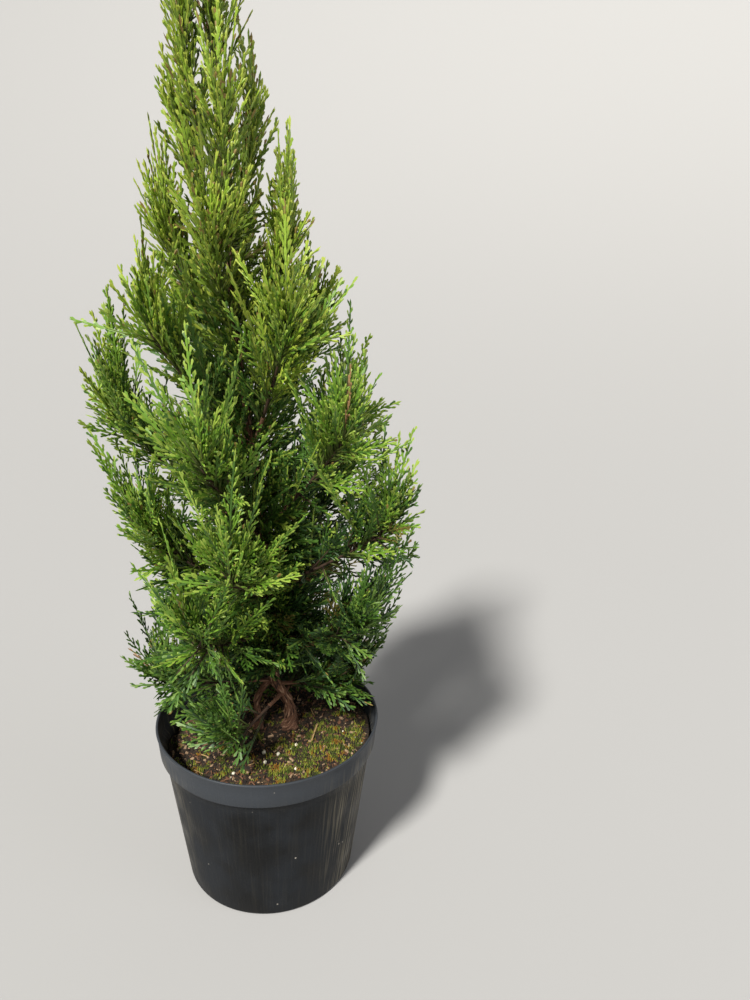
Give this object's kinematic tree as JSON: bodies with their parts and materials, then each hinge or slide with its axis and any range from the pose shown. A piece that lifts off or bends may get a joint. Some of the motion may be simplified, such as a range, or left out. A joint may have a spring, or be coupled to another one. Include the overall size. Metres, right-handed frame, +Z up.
{
  "type": "potted thuja",
  "caption": "Young upright thuja with a leaning trunk, tiers of flat scale-leaf sprays and two leaders, growing in a round black nursery pot filled with soil.",
  "frame": {"origin": "centre of the pot's flat underside", "axes": "+Z up along the pot's axis, -Y towards the side that the picture shows, +X to that side's right"},
  "size_m": [0.3046, 0.2803, 0.8849],
  "materials": {
    "pot": "satin",
    "soil": "matte",
    "bark": "matte",
    "foliage": "satin"
  },
  "bodies": {
    "root": {"pot": "pot", "soil": "soil", "trunk": "bark", "second_stem": "bark", "skirt_bough_1": "bark", "skirt_bough_2": "bark", "skirt_bough_4": "bark", "skirt_bough_5": "bark", "skirt_bough_6": "bark", "low_bough_1": "bark", "low_bough_2": "bark", "low_bough_3": "bark", "low_bough_4": "bark", "middle_bough_1": "bark", "middle_bough_2": "bark", "middle_bough_3": "bark", "middle_bough_4": "bark", "middle_bough_5": "bark", "shoulder_bough_1": "bark", "shoulder_bough_2": "bark", "shoulder_bough_3": "bark", "shoulder_bough_4": "bark", "shoulder_bough_5": "bark", "upper_bough_1": "bark", "upper_bough_2": "bark", "upper_bough_3": "bark", "upper_bough_4": "bark", "side_leader_foliage": "foliage", "leader_foliage": "foliage", "skirt_foliage_1": "foliage", "skirt_foliage_2": "foliage", "skirt_foliage_4": "foliage", "skirt_foliage_5": "foliage", "skirt_foliage_6": "foliage", "low_foliage_1": "foliage", "low_foliage_2": "foliage", "low_foliage_3": "foliage", "low_foliage_4": "foliage", "middle_foliage_1": "foliage", "middle_foliage_2": "foliage", "middle_foliage_3": "foliage", "middle_foliage_4": "foliage", "middle_foliage_5": "foliage", "shoulder_foliage_1": "foliage", "shoulder_foliage_2": "foliage", "shoulder_foliage_3": "foliage", "shoulder_foliage_4": "foliage", "shoulder_foliage_5": "foliage", "upper_foliage_1": "foliage", "upper_foliage_2": "foliage", "upper_foliage_3": "foliage", "upper_foliage_4": "foliage", "high_foliage_1": "foliage", "high_foliage_2": "foliage", "high_foliage_3": "foliage", "high_foliage_4": "foliage", "spire_foliage_1": "foliage", "spire_foliage_2": "foliage", "spire_foliage_3": "foliage"}
  },
  "joints": []
}
